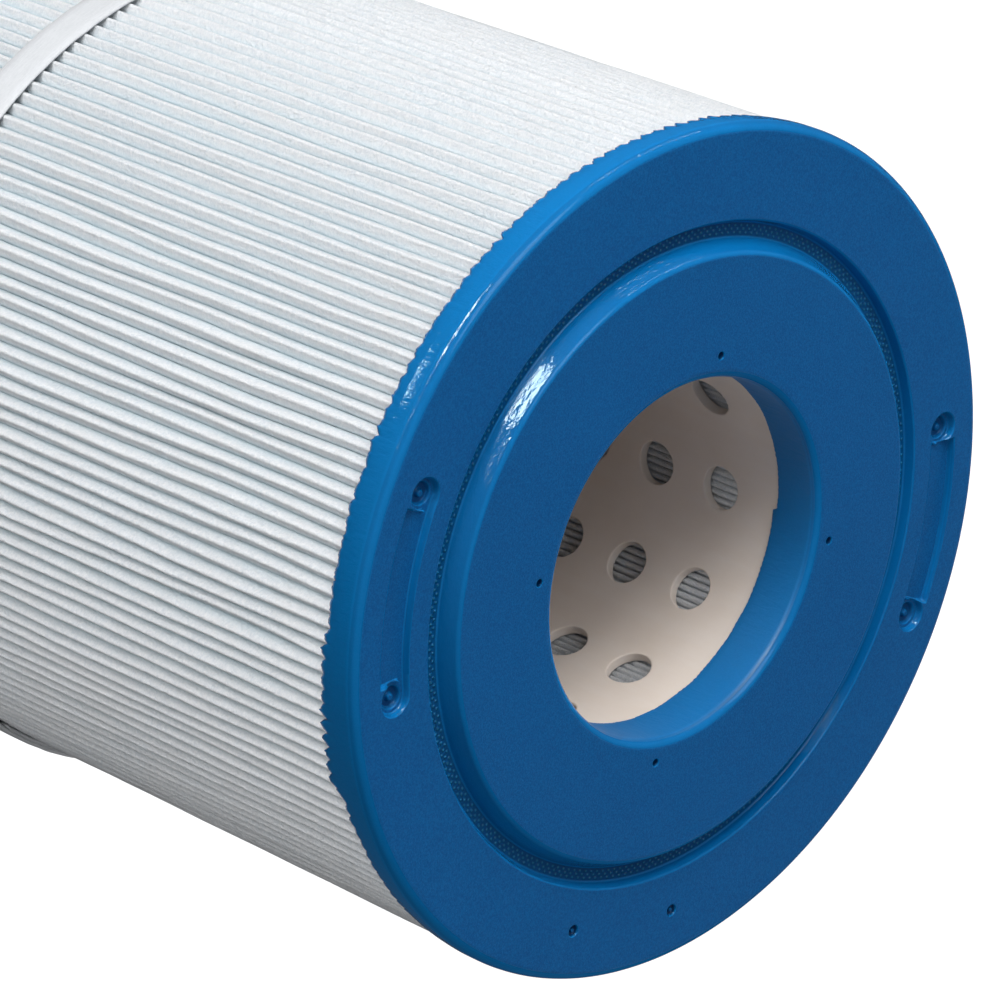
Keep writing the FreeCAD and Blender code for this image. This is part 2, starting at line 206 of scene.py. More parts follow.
def urethane_material():
    """Cast polyurethane: satin where a fine-grained mould face left its grain, glossy on the walls,
    with a band of knurl dots on the groove's floor. Painted shade darkens the level faces, sloping
    walls, groove floor, recesses, pins and dimples; the dot tops carry a painted highlight."""
    s = Shader("cast_urethane")
    normal = s.node("ShaderNodeNewGeometry").outputs["Normal"]
    lean = s.math("ABSOLUTE", s.node("ShaderNodeSeparateXYZ", {"Vector": normal}).outputs["Z"])
    level = s.remap(lean, 0.93, 0.995, soft=True)
    radius = s.math("MULTIPLY", s.radius(), 1000.0)
    past_inner = s.remap(radius, 83.2, 83.7, soft=True)
    past_outer = s.remap(radius, 86.7, 87.2, 1, 0, soft=True)
    groove = s.math("MULTIPLY", s.math("MULTIPLY", past_inner, past_outer), level)
    satin = s.math("SUBTRACT", level, groove)
    sloping = s.math("MULTIPLY", s.remap(lean, 0.3, 0.4), s.remap(lean, 0.55, 0.75, 1, 0))

    # knurl: staggered rings of dots, worked out from the angle and the radius
    parts = s.split_position()
    angle = s.math("ARCTAN2", parts.outputs["Y"], parts.outputs["X"])
    ring = s.math("DIVIDE", s.math("SUBTRACT", radius, KNURL_RINGS[0]), KNURL_RINGS[1] - KNURL_RINGS[0])
    near = s.math("ROUND", ring)
    stagger = s.math("MULTIPLY", s.math("MODULO", s.math("ABSOLUTE", near), 2.0), 0.5)
    turn = s.math("ADD", s.math("MULTIPLY", angle, KNURL_DOTS / (2 * math.pi)), stagger)
    along = s.math("SUBTRACT", s.math("FRACT", turn), 0.5)
    along = s.math("MULTIPLY", along, 2 * math.pi * KNURL_RINGS[1] / KNURL_DOTS)
    across = s.math("MULTIPLY", s.math("SUBTRACT", ring, near), KNURL_RINGS[1] - KNURL_RINGS[0])
    along_squared = s.math("MULTIPLY", along, along)
    across_squared = s.math("MULTIPLY", across, across)
    reach = s.math("SQRT", s.math("ADD", along_squared, across_squared))
    inside = s.remap(s.math("ABSOLUTE", s.math("SUBTRACT", ring, 1.0)), 1.35, 1.5, 1, 0)
    dot = s.math("MULTIPLY", s.remap(reach, 0.10, KNURL_DOT, 1, 0, soft=True), inside)
    dot = s.math("MULTIPLY", dot, groove)

    # recesses, by how far they lie below the cap's face
    from_middle = s.math("ABSOLUTE", s.math("SUBTRACT", parts.outputs["Z"], LENGTH * MM / 2))
    sunk = s.remap(from_middle, (LENGTH / 2 - FACE_STEP - 2.8) * MM, (LENGTH / 2 - FACE_STEP - 2.0) * MM, 1, 0)
    on_rim = s.math("MULTIPLY", s.remap(radius, 94.0, 94.6), s.remap(radius, 105.6, 105.0))
    recess = s.math("MULTIPLY", sunk, on_rim)
    shallow = s.remap(from_middle, (LENGTH / 2 - FACE_STEP - 0.7) * MM, (LENGTH / 2 - FACE_STEP - 0.2) * MM, 1, 0)
    near_row = s.remap(s.math("ABSOLUTE", parts.outputs["X"]), 0.024, 0.026, 1, 0)
    in_dimple = s.math("MULTIPLY", s.math("MULTIPLY", shallow, near_row), on_rim)
    on_face = s.math("MULTIPLY", s.remap(radius, 51.4, 51.8), s.remap(radius, 56.0, 56.4, 1, 0))
    in_pin = s.math("MULTIPLY", on_face, s.remap(from_middle, (LENGTH / 2 - 0.5) * MM, (LENGTH / 2 - 0.15) * MM, 1, 0))

    cloud = s.noise(22, 4, 0.55)
    grain = s.noise(1700, 3, 0.65)
    speck = s.remap(s.noise(2100, 3, 0.8), 0.40, 0.60)
    polished = s.mix(s.remap(cloud, 0.3, 0.7), (0.0010, 0.163, 0.450, 1), (0.0014, 0.185, 0.50, 1))
    # level faces get a darker blue than the walls: partly the satin mould finish, partly painted shade
    satin_blue_and_shade = s.mix(s.remap(cloud, 0.3, 0.7), (0.0006, 0.092, 0.310, 1), (0.0010, 0.105, 0.345, 1))
    colour = s.mix(satin, polished, satin_blue_and_shade)
    colour = s.mix(s.math("MULTIPLY", speck, 0.62), colour, (0.006, 0.186, 0.52, 1))
    # painted shade: the groove floor between the knurl dots is painted a darker blue
    colour = s.mix(s.math("MULTIPLY", groove, 0.62), colour, (0.001, 0.040, 0.14, 1))
    # painted shade: the sloping groove wall, which faces up into more light, is painted darker
    colour = s.mix(s.math("MULTIPLY", sloping, 0.35), colour, (0.001, 0.085, 0.27, 1))
    # painted shade: the floors of the screw prints are painted darker
    colour = s.mix(s.math("MULTIPLY", recess, 0.6), colour, (0.001, 0.05, 0.18, 1))
    # painted shade: the insides of the dimples and pin holes are painted nearly black-blue
    colour = s.mix(s.math("MULTIPLY", s.math("MAXIMUM", in_dimple, in_pin), 0.85), colour, (0.001, 0.03, 0.11, 1))
    # painted highlight: the knurl dot tops are painted a lighter blue
    colour = s.mix(s.math("MULTIPLY", dot, 0.65), colour, (0.025, 0.27, 0.50, 1))
    lining = s.remap(radius, 47.9, 48.7, 0.45, 0)
    rough = s.math(
        "ADD",
        s.remap(satin, 0, 1, 0.045, 0.42),
        s.remap(s.noise(60, 3, 0.6), 0.3, 0.7, -0.015, 0.025),
    )
    rough = s.math("ADD", rough, lining)
    fine = s.bump(grain, s.remap(satin, 0, 1, 0.05, 0.8), 0.00012)
    streaks = s.noise(1, 3, 0.6, s.stretched((520, 520, 150)), 0.4)
    upright = s.remap(lean, 0.05, 0.22, 1, 0)
    wall = s.bump(streaks, s.remap(upright, 0, 1, 0.06, 0.42), 0.0004, fine)
    round_wall = s.node(
        "ShaderNodeCombineXYZ",
        {
            "X": s.math("MULTIPLY", angle, 26.0),
            "Y": s.math("MULTIPLY", parts.outputs["Z"], 900.0),
            "Z": s.math("MULTIPLY", radius, 0.9),
        },
    ).outputs["Vector"]
    combed = s.noise(1, 2, 0.5, round_wall, 0.5)
    wall = s.bump(combed, s.remap(sloping, 0, 1, 0.0, 0.32), 0.0004, wall)
    waves = s.bump(s.noise(75, 2, 0.5), s.remap(satin, 0, 1, 0.30, 0.12), 0.00025, wall)
    dots = s.bump(dot, 1.0, KNURL_HEIGHT * MM, waves)
    s.set(Base_Color=colour, Roughness=rough, Normal=dots, IOR=1.5)
    s.surface.inputs["Specular IOR Level"].default_value = 0.3
    return s.material


def fabric_material():
    """Spunbond polyester: white felted fibres, with a painted teal-grey shade in the depths of the folds."""
    s = Shader("filter_fabric")
    long_fibres = s.noise(1, 4, 0.7, s.stretched((1900, 1900, 600)), 0.6)
    cross_fibres = s.noise(1, 4, 0.7, s.stretched((1100, 1100, 2400), (35, 20, 0)), 0.8)
    clumps = s.noise(850, 4, 0.75)
    patches = s.noise(60, 4, 0.6)
    tone = s.math(
        "ADD",
        s.math("MULTIPLY", s.remap(clumps, 0.38, 0.62), 0.5),
        s.math("MULTIPLY", s.remap(cross_fibres, 0.38, 0.62), 0.5),
    )
    white = s.mix(tone, (0.69, 0.735, 0.775, 1), (0.93, 0.935, 0.94, 1))
    warm = s.mix(s.remap(patches, 0.35, 0.7, 0, 0.4), white, (0.845, 0.835, 0.83, 1))
    radius = s.radius()
    # painted shade: darker teal-grey down the folds below the crests, fading out further in where the sheet shows
    # through the core's holes
    depth = s.math("MULTIPLY", s.remap(radius, 0.1088, 0.1117, 1, 0, soft=True), s.remap(radius, 0.080, 0.100))
    colour = s.mix(s.math("MULTIPLY", depth, 0.7), warm, (0.58, 0.76, 0.83, 1))
    height = s.math("ADD", s.math("MULTIPLY", long_fibres, 0.5), cross_fibres)
    fibres = s.bump(height, 0.8, 0.0005)
    dents = s.bump(clumps, 0.8, 0.0009, fibres)
    s.set(Base_Color=colour, Roughness=s.remap(tone, 0, 1, 0.75, 0.5), Normal=dents, IOR=1.5)
    s.surface.inputs["Specular IOR Level"].default_value = 0.35
    s.surface.inputs["Sheen Weight"].default_value = 0.12
    s.surface.inputs["Sheen Roughness"].default_value = 0.5
    return s.material


def core_material():
    """Moulded off-white plastic with a dull, faintly mottled skin."""
    s = Shader("core_plastic")
    cloud = s.noise(45, 4, 0.55)
    flow = s.noise(1, 3, 0.5, s.stretched((240, 240, 30)))
    colour = s.mix(s.remap(cloud, 0.3, 0.7), (0.86, 0.755, 0.665, 1), (0.91, 0.815, 0.735, 1))
    colour = s.mix(s.remap(flow, 0.45, 0.75, 0, 0.3), colour, (0.92, 0.85, 0.79, 1))
    skin = s.bump(s.noise(1500, 3, 0.6), 0.18, 0.0001)
    skin = s.bump(flow, 0.15, 0.0004, skin)
    rough = s.remap(s.noise(120, 3, 0.5), 0.3, 0.7, 0.42, 0.56)
    s.set(Base_Color=colour, Roughness=rough, Normal=skin, IOR=1.48)
    s.surface.inputs["Subsurface Weight"].default_value = 0.0
    return s.material


def strap_material():
    """Bonded polyester strap: smoother than the pleats, with fibres laid along it."""
    s = Shader("strap_fabric")
    along = s.noise(1, 4, 0.6, s.stretched((300, 300, 2600)), 0.4)
    felt = s.noise(1500, 3, 0.6)
    patches = s.noise(90, 3, 0.5)
    tone = s.remap(s.math("ADD", along, s.math("MULTIPLY", felt, 0.5)), 0.5, 1.0)
    colour = s.mix(tone, (0.53, 0.545, 0.56, 1), (0.62, 0.63, 0.645, 1))
    colour = s.mix(s.remap(patches, 0.4, 0.7, 0, 0.3), colour, (0.60, 0.61, 0.625, 1))
    height = s.math("ADD", s.math("MULTIPLY", along, 0.7), felt)
    s.set(
        Base_Color=colour,
        Roughness=s.remap(tone, 0, 1, 0.72, 0.55),
        Normal=s.bump(height, 0.4, 0.00015),
        IOR=1.5,
    )
    s.surface.inputs["Sheen Weight"].default_value = 0.1
    return s.material


def glue_material():
    """Hot-melt glue: cloudy, smooth, with small blisters."""
    s = Shader("seam_glue")
    cloud = s.noise(160, 4, 0.6)
    colour = s.mix(s.remap(cloud, 0.3, 0.7), (0.70, 0.66, 0.54, 1), (0.84, 0.81, 0.72, 1))
    blister = s.node("ShaderNodeTexVoronoi", {"Vector": s.position, "Scale": 420.0})
    lumps = s.bump(s.remap(blister.outputs["Distance"], 0.0, 0.5), 0.25, 0.0003)
    s.set(
        Base_Color=colour,
        Roughness=s.remap(s.noise(200, 2, 0.5), 0.3, 0.7, 0.24, 0.42),
        Normal=s.bump(cloud, 0.3, 0.0008, lumps),
        IOR=1.49,
    )
    return s.material


def floor_material():
    """Pale matt studio floor."""
    s = Shader("studio_floor")
    colour = s.mix(s.noise(3.0, 3, 0.5), (0.90, 0.90, 0.90, 1), (0.93, 0.93, 0.93, 1))
    s.set(Base_Color=colour, Roughness=0.9, IOR=1.3)
    s.surface.inputs["Specular IOR Level"].default_value = 0.1
    return s.material


# ---------------------------------------------------------------- lathe with fine windows

BASE_LINES = 720
LINE_PARTS = 12
LINES = BASE_LINES * LINE_PARTS


def arc(before, corner, after, radius, steps):
    """Points of the arc that rounds a corner of the profile."""
    before, corner, after = (np.array(p, float) for p in (before, corner, after))
    back = (before - corner) / np.linalg.norm(before - corner)
    on = (after - corner) / np.linalg.norm(after - corner)
    half = math.acos(float(np.clip(back @ on, -1, 1))) / 2
    centre = corner + (back + on) / np.linalg.norm(back + on) * radius / math.sin(half)
    first = corner + back * radius / math.tan(half) - centre
    last = corner + on * radius / math.tan(half) - centre
    sweep = math.pi - 2 * half
    return [
        tuple(centre + (first * math.sin((1 - t) * sweep) + last * math.sin(t * sweep)) / math.sin(sweep))
        for t in np.linspace(0, 1, steps + 1)
    ]


def lathe(stations, fine, shape):
    """Points and faces of a closed profile turned round the axis.

    stations: (r, z, rows, tag) of each profile point; where a stretch is fine, the straight
    run to the next point has that many rows. fine: a grid of stretches by base lines, 0 for a
    plain face, else how many lines each base line is divided into. Plain faces next to fine
    ones take their extra points, so that the surface stays closed.
    """
    rows = [station[2] for station in stations]
    starts = np.concatenate([[0], np.cumsum(rows)]).astype(int)
    total = int(starts[-1])
    radius, height = np.zeros(total), np.zeros(total)
    for j, (r, z, count, _tag) in enumerate(stations):
        next_r, next_z = stations[(j + 1) % len(stations)][:2]
        t = np.arange(count) / count
        radius[starts[j] : starts[j + 1]] = r + (next_r - r) * t
        height[starts[j] : starts[j + 1]] = z + (next_z - z) * t
    used = np.zeros((total, LINES), bool)
    used[starts[:-1], ::LINE_PARTS] = True
    for j, i in zip(*np.nonzero(fine)):
        step = LINE_PARTS // fine[j, i]
        lines = np.arange(i * LINE_PARTS, (i + 1) * LINE_PARTS + 1, step) % LINES
        for row in range(starts[j], starts[j + 1] + 1):
            used[row % total, lines] = True
    ids = np.full((total, LINES), -1, int)
    ids[used] = np.arange(int(used.sum()))
    row_of, line_of = np.nonzero(used)
    points = shape(row_of, line_of, radius[row_of], height[row_of], starts)
    faces = []
    for j in range(len(stations)):
        low, high = starts[j], starts[j + 1] % total
        for parts in np.unique(fine[j]):
            cells = np.nonzero(fine[j] == parts)[0]
            if parts:
                step = LINE_PARTS // parts
                lines = (cells[:, None] * LINE_PARTS + np.arange(0, LINE_PARTS, step)).ravel()
                for row in range(starts[j], starts[j + 1]):
                    above, after = (row + 1) % total, (lines + step) % LINES
                    quads = np.column_stack(
                        [ids[row, lines], ids[above, lines], ids[above, after], ids[row, after]]
                    )
                    faces.extend(quads.tolist())
                continue
            for i in cells:
                first, last = i * LINE_PARTS, (i + 1) * LINE_PARTS
                across = np.arange(first, last + 1) % LINES
                up = np.arange(starts[j], starts[j + 1] + 1) % total
                left = ids[up, across[0]]
                top = ids[high, across]
                right = ids[up, across[-1]][::-1]
                bottom = ids[low, across][::-1]
                ring = np.concatenate([left[:-1], top[:-1], right[:-1], bottom[:-1]])
                faces.append(ring[ring >= 0].tolist())
    return points, faces


# ---------------------------------------------------------------- end caps

PLATE_INNER, PLATE_OUTER, PLATE_HALF, PLATE_DEPTH = 95.1, 104.1, 12.7, 1.8
SCREW_CIRCLE, SCREW_HALF, SCREW_RECESS = 99.6, 15.05, 4.4
SCREW_HEAD, SCREW_SOCKET, SCREW_DEPTH = 2.9, 0.9, 1.1
PIN_CIRCLE, PIN_RADIUS, PIN_DEPTH = 54.0, 1.05, 4.0
DIMPLE_CIRCLE, DIMPLE_HALF, DIMPLE_RADIUS, DIMPLE_SOCKET, DIMPLE_DEPTH = 99.7, 10.65, 1.7, 0.6, 1.1
# How far the skirt's edge stands above (+) or below (-) its usual depth, by angle
TOP_EDGE = (
    (80, 1.1), (97, 1.4), (110, 0.6), (125, 0.0), (160, -0.1), (184, -0.2), (187, -1.3),
    (198, -2.2), (207, -2.9), (208.5, -0.5), (214, 0.5), (225, 0.3), (300, -0.2), (350, 0.3),
)  # fmt: skip


def cap_stations():
    corners = [
        (BORE_RADIUS, -BORE_DEPTH),
        (BORE_RADIUS, 0),
        (80.6, 0),
        (83.3, -GROOVE_DEPTH),
        (87.4, -GROOVE_DEPTH),
        (88.3, -FACE_STEP),
        (CAP_RADIUS, -FACE_STEP),
        (CAP_RADIUS, -SKIRT_DEPTH),
    ]
    bends = {1: (2.7, 7), 2: (1.9, 6), 3: (0.8, 3), 4: (0.8, 3), 5: (0.9, 4), 6: (3.0, 7)}
    extras = {
        1: [(51.0, 0, 1, ""), (52.1, 0, 24, "pins"), (55.9, 0, 1, ""), (68, 0, 1, "")],
        5: [(94.0, -FACE_STEP, 7, "plates"), (96.2, -FACE_STEP, 32, "dimples"),
            (103.2, -FACE_STEP, 7, "plates"), (105.2, -FACE_STEP, 1, "")],
    }  # fmt: skip
    stations = [
        (BORE_RADIUS + 0.25, -BORE_DEPTH, 1, "flash"),
        (BORE_RADIUS, -BORE_DEPTH + 0.4, 1, "flash"),
        (BORE_RADIUS, -12.5, 1, ""),
        (BORE_RADIUS, -8.0, 1, ""),
    ]
    for index, (radius, steps) in bends.items():
        bend = arc(corners[index - 1], corners[index], corners[index + 1], radius, steps)
        stations += [(r, z, 1, "") for r, z in bend]
        stations += extras.get(index, [])
    stations += [
        (CAP_RADIUS, -SKIRT_TOP, 5, "skirt"),
        (CAP_RADIUS - 0.3, -SKIRT_DEPTH, 1, "edge"),
        (CAP_RADIUS - 1.0, -SKIRT_DEPTH - 0.1, 1, "lip"),
        (CAP_RADIUS - 2.6, -POTTING_DEPTH, 1, "potting"),
        (CORE_OUTER, -POTTING_DEPTH, 1, "potting"),
        (CORE_OUTER, -CORE_SEAT, 1, ""),
        (CORE_INNER, -CORE_SEAT, 1, ""),
        (CORE_INNER, -BORE_DEPTH + 0.3, 1, "flash"),
    ]
    return stations


def plate_height(radius, angle):
    """Depth of the two plate recesses and the screw prints at their ends."""
    along = np.abs(turn_gap(np.abs(turn_gap(angle, 0)), 0))
    along = np.where(along > 90, 180 - along, along)
    side = np.radians(along) * SCREW_CIRCLE
    half = math.radians(PLATE_HALF) * SCREW_CIRCLE
    middle = (PLATE_INNER + PLATE_OUTER) / 2
    slot = np.maximum(side - half, np.abs(radius - middle) - (PLATE_OUTER - PLATE_INNER) / 2)
    screw = math.radians(SCREW_HALF) * SCREW_CIRCLE
    lobe_gap = np.hypot(side - screw, radius - SCREW_CIRCLE)
    bridge = np.maximum(side - screw, np.abs(radius - (PLATE_INNER + 1.2)) - 1.2)
    inside = np.minimum(np.minimum(slot, lobe_gap - SCREW_RECESS), bridge)
    drop = PLATE_DEPTH * smoothstep(0.22, -0.34, inside)
    ring = np.maximum(lobe_gap - SCREW_HEAD, SCREW_SOCKET - lobe_gap)
    return -drop - SCREW_DEPTH * smoothstep(0.2, -0.3, ring)


def ringed_window(points_r, angles, rows, lines, middle_row, middle_line, step, centre, radii):
    """Pulls a square window's points onto circles round a small print's centre.

    Returns new radius and angle, and each point's distance from that centre, or the window's
    own edge beyond the last circle.
    """
    a, b = rows - middle_row, (lines - middle_line) / step
    count = np.maximum(np.abs(a), np.abs(b)).astype(int)
    reach = np.hypot(a, b) + 1e-9
    ring = np.array([0.0, *radii, 0.0])[np.minimum(count, len(radii) + 1)]
    inner = count <= len(radii)
    out, around = a / reach * ring, b / reach * ring
    centre_r, centre_angle = centre
    new_r = np.where(inner, centre_r + out, points_r)
    new_angle = np.where(inner, centre_angle + np.degrees(around / centre_r), angles)
    return new_r, new_angle, np.where(inner, ring, 99.0)


PIN_RINGS = (0.35, 0.6, 0.8, 0.92, 0.96, 1.0, 1.05, 1.1, 1.2, 1.35, 1.55)
DIMPLE_RINGS = (0.15, 0.3, 0.42, 0.5, 0.58, 0.66, 0.8, 1.0, 1.2, 1.34, 1.45, 1.56, 1.68, 1.85, 2.2)
PIN_ANGLES = (0, 90, 180, 270)
DIMPLE_ANGLES = (-90 - DIMPLE_HALF, -90 + DIMPLE_HALF)


def make_cap(name, material, seed, edge_by_angle, place):
    stations = cap_stations()
    tags = [station[3] for station in stations]
    fine = np.zeros((len(stations), BASE_LINES), int)
    base_angle = (np.arange(BASE_LINES) + 0.5) * 360 / BASE_LINES
    for j, tag in enumerate(tags):
        if tag in ("skirt", "edge"):
            fine[j] = 3
        if tag == "pins":
            for pin in PIN_ANGLES:
                fine[j, np.abs(turn_gap(base_angle, pin)) < 2] = 3
        if tag in ("plates", "dimples"):
            for plate in (0, 180):
                gap = np.abs(turn_gap(base_angle, plate))
                fine[j, gap < 18.5] = 1
                fine[j, (gap > 12.0) & (gap < 18.5)] = 4
        if tag == "dimples":
            for dimple in DIMPLE_ANGLES:
                middle = round(dimple * 2) / 2
                fine[j, np.abs(turn_gap(base_angle, middle)) < 2] = 4

    rng = np.random.default_rng(seed)
    tooth = rng.uniform(0.35, 1.0, PLEATS)
    long_tooth = rng.random(PLEATS) < 0.14
    tooth[long_tooth] += rng.uniform(0.5, 1.1, int(long_tooth.sum()))

    def shape(row, line, radius, height, starts):
        angle = line * 360 / LINES
        start = {tag: starts[j] for j, tag in reversed(list(enumerate(tags)))}

        def within(tag):
            j = tags.index(tag)
            return (row >= starts[j]) & (row <= starts[j + 1])

        # skirt edge: the white tips of the pleats point up into it, blue runs down between them
        pleat = (angle - SEAM_ANGLE) / PLEAT_PITCH
        own = np.floor(pleat).astype(int) % PLEATS
        to_tip = 1 - 2 * np.abs(pleat % 1 - 0.5) * 2
        near = np.interp(turn_gap(angle, 180) + 180, *zip(*[(a % 360, v) for a, v in edge_by_angle]), period=360)
        swing = tooth[own] * np.where(to_tip > 0, to_tip**1.3, -0.75 * (-np.minimum(to_tip, 0)) ** 0.9)
        spiky = 1 + 1.3 * np.exp(-((turn_gap(angle, 92) / 9) ** 2)) + 0.9 * smoothstep(0.9, 1.6, -near)
        edge = -SKIRT_DEPTH + near + swing * spiky * 0.8 + 0.2 * ripple(seed + 3, angle, 60) + 0.13 * ripple(seed + 4, angle, 430)
        share = np.clip((height + SKIRT_TOP) / (SKIRT_TOP - SKIRT_DEPTH), 0, 1.1)
        on_skirt = (row > start["skirt"]) & (row <= start["potting"] - 1)
        height = np.where(on_skirt, -SKIRT_TOP + share * (edge + SKIRT_TOP), height)
        radius = np.where(on_skirt, radius - 0.25 * share**3 - 0.1 * np.maximum(-to_tip, 0) * share, radius)

        # potting between the pleats climbs their walls a little
        in_potting = (row >= start["potting"]) & (row <= start["potting"] + 1)
        height = np.where(in_potting, height + near * 0.6 + 0.15 * ripple(seed + 5, angle, 40), height)

        # torn flash along the lining's lower edge
        flash = 0.10 * ripple(seed + 7, angle, 26) + 0.07 * ripple(seed + 8, angle, 150)
        flash += 1.3 * smoothstep(5.2, 6.2, turn_gap(angle, 0)) * smoothstep(150, 60, turn_gap(angle, 0))
        low = (height < -BORE_DEPTH + 1.0) & (radius < CORE_INNER + 0.5)
        height = np.where(low, height + flash, height)

        # plate recesses with their screw prints
        plates = (row >= start["plates"]) & (row <= starts[tags.index("dimples") + 2])
        height = np.where(plates, height + plate_height(radius, angle), height)

        # small round prints
        for pin in PIN_ANGLES:
            middle_line = (pin % 360) * LINES // 360
            gap_lines = turn_gap(angle, pin) * LINES / 360
            inside = within("pins") & (np.abs(gap_lines) <= 4 * LINE_PARTS)
            r, a, gap = ringed_window(
                radius, angle, row, middle_line + np.round(gap_lines), start["pins"] + 12, middle_line,
                LINE_PARTS // 3, (PIN_CIRCLE, pin), PIN_RINGS,
            )  # fmt: skip
            drop = PIN_DEPTH * smoothstep(PIN_RADIUS, 0.95, gap) + 0.1 * smoothstep(1.25, PIN_RADIUS, gap)
            radius, angle = np.where(inside, r, radius), np.where(inside, a, angle)
            height = np.where(inside, height - drop, height)
        for dimple in DIMPLE_ANGLES:
            middle = round(dimple * 2) / 2
            middle_line = round((middle % 360) * LINES / 360)
            gap_lines = turn_gap(angle, middle) * LINES / 360
            inside = within("dimples") & (np.abs(gap_lines) <= 4 * LINE_PARTS)
            r, a, gap = ringed_window(
                radius, angle, row, middle_line + np.round(gap_lines), start["dimples"] + 16, middle_line,
                LINE_PARTS // 4, (DIMPLE_CIRCLE, dimple), DIMPLE_RINGS,
            )  # fmt: skip
            drop = DIMPLE_DEPTH * smoothstep(DIMPLE_RADIUS, 1.45, gap)
            drop *= smoothstep(0.42, 0.66, gap) * 0.7 + 0.3
            radius, angle = np.where(inside, r, radius), np.where(inside, a, angle)
            height = np.where(inside, height - drop, height)
        turn = np.radians(angle)
        return np.column_stack([radius * np.cos(turn), radius * np.sin(turn), height])

    points, faces = lathe(stations, fine, shape)
    obj = add_mesh(name, place(points), faces, [material])
    even_normals(obj)
    return obj


# ---------------------------------------------------------------- pleated sheet


FLANK_FOOT, WALL_GAP, FOLD_GAP = 109.9, 0.07, 0.08


def pleat_section():
    """One pleat about the +X axis, as its outer and inner skin from valley to valley.

    The crest is a rounded ridge whose flanks spread until they nearly touch the next pleat's,
    and the walls then run inwards side by side to the fold at the root.
    """

    def halfway(radius):
        return radius * math.tan(math.pi / PLEATS)

    crest = 0.62
    outer = [(TIP_RADIUS - crest * (1 - math.cos(t)), crest * math.sin(t)) for t in np.radians((0, 38, 68))]
    outer += [
        (111.2, 1.03),
        (110.6, 1.48),
        (FLANK_FOOT, halfway(FLANK_FOOT) - WALL_GAP),
        (54.0, halfway(54.0) - FOLD_GAP),
        (53.1, halfway(53.1)),
    ]
    inner = [(TIP_RADIUS - 0.6, 0), (108.3, 0.95), (53.9, FOLD_GAP), (52.9, 0.42), (ROOT_RADIUS, halfway(ROOT_RADIUS))]

    def both_sides(line):
        line = np.array(line)
        return np.vstack([(line[1:][::-1] * [1, -1])[1:], line])

    return both_sides(outer), both_sides(inner)


def crest_sway(height, seed):
    """How far each fold's crest leans sideways and inwards at each height, in millimetres."""
    rng = np.random.default_rng(seed)
    pleat = np.arange(PLEATS)[None, :] + np.zeros_like(height)
    side, drop = np.zeros_like(pleat), np.zeros_like(pleat)
    for group, size in ((6, 0.14), (20, 0.12), (60, 0.10)):
        for _ in range(3):
            around = rng.integers(1, group + 1) * 2 * math.pi / PLEATS
            along = rng.uniform(0.2, 1.2) * 2 * math.pi / 170
            phase = rng.uniform(0, 2 * math.pi)
            side += size * np.sin(around * pleat + along * height + phase)
            drop += 0.4 * size * np.cos(around * pleat - along * height + 2 * phase)
    own = rng.uniform(0, 2 * math.pi, (4, PLEATS))
    waves = ((260.0, 0.28), (130.0, 0.14), (62.0, 0.08), (29.0, 0.06))
    for phase, (wave, amount) in zip(own, waves):
        turn = 2 * math.pi * height / wave + phase
        side += amount * np.sin(turn)
        drop += 0.7 * amount * np.cos(turn * 0.8)
    free = smoothstep(8, 40, np.minimum(height, LENGTH - height))
    free = free * (0.35 + 0.65 * smoothstep(5, 34, np.abs(height - BAND_MIDDLE)))
    return side * free, (np.abs(drop) + 0.03) * free


def make_media(material):
    outer, inner = pleat_section()
    skin_size = (len(outer), len(inner))
    outline = np.vstack([outer, inner])
    per_pleat = len(outline)
    reach = np.clip((np.hypot(*outline.T) - ROOT_RADIUS) / (TIP_RADIUS - ROOT_RADIUS), 0, 1)
    hidden = 9.0
    band_edges = [BAND_MIDDLE - BAND_WIDTH / 2, BAND_MIDDLE + BAND_WIDTH / 2]
    lower = np.linspace(hidden, band_edges[0], 10)
    heights = np.concatenate([lower, np.linspace(band_edges[1], LENGTH - hidden, 15)])
    crest, drop = crest_sway(heights[:, None], 11)
    # a flank starts at its own crest and ends halfway to the next one, so that folds never cross,
    # and the lean fades out towards the root
    next_foot = (crest + np.roll(crest, -1, axis=1)) / 2
    last_foot = (crest + np.roll(crest, 1, axis=1)) / 2
    down = smoothstep(TIP_RADIUS - 0.6, FLANK_FOOT, outline[:, 0])
    foot = np.where(outline[:, 1] > 0, next_foot[..., None], last_foot[..., None])
    side = (crest[..., None] * (1 - down) + foot * down) * reach**1.6
    fall = drop[..., None] * reach**2.5
    held = np.abs(heights - BAND_MIDDLE) < BAND_WIDTH / 2 + 1
    fall[held] = 0.1 * reach
    angle = np.radians(SEAM_ANGLE + (np.arange(PLEATS) + 0.5) * PLEAT_PITCH)[None, :, None]
    local_x, local_y = outline[:, 0] - fall, outline[:, 1] + side
    px = local_x * np.cos(angle) - local_y * np.sin(angle)
    py = local_x * np.sin(angle) + local_y * np.cos(angle)
    points = np.stack([px, py, heights[:, None, None] + np.zeros_like(px)], -1).reshape(-1, 3)
    row = PLEATS * per_pleat
    base = np.arange(PLEATS) * per_pleat
    faces = []
    for first, size, inward in ((0, skin_size[0], False), (skin_size[0], skin_size[1], True)):
        loop = (base[:, None] + first + np.arange(size)).ravel()
        after = np.roll(loop, -1)
        for level in range(len(heights) - 1):
            low, high = level * row, (level + 1) * row
            quads = [low + loop, low + after, high + after, high + loop]
            if inward:
                quads.reverse()
            faces.extend(np.column_stack(quads).tolist())
    for level, upward in ((0, False), (len(heights) - 1, True)):
        for i in range(PLEATS):
            n = (i + 1) % PLEATS
            out = [base[i] + k for k in range(skin_size[0])] + [base[n]]
            back = [base[i] + skin_size[0] + k for k in range(skin_size[1])] + [base[n] + skin_size[0]]
            ring = [int(level * row + k) for k in out + back[::-1]]
            faces.append(ring if upward else ring[::-1])
    return add_mesh("filter_sheet", points, faces, [material])


# ---------------------------------------------------------------- core tube

CORE_PER_ROW, CORE_ROWS, CORE_PHASE, CORE_FIRST, CORE_HOLE = 11, 14, 4.9, 35.0, 6.0


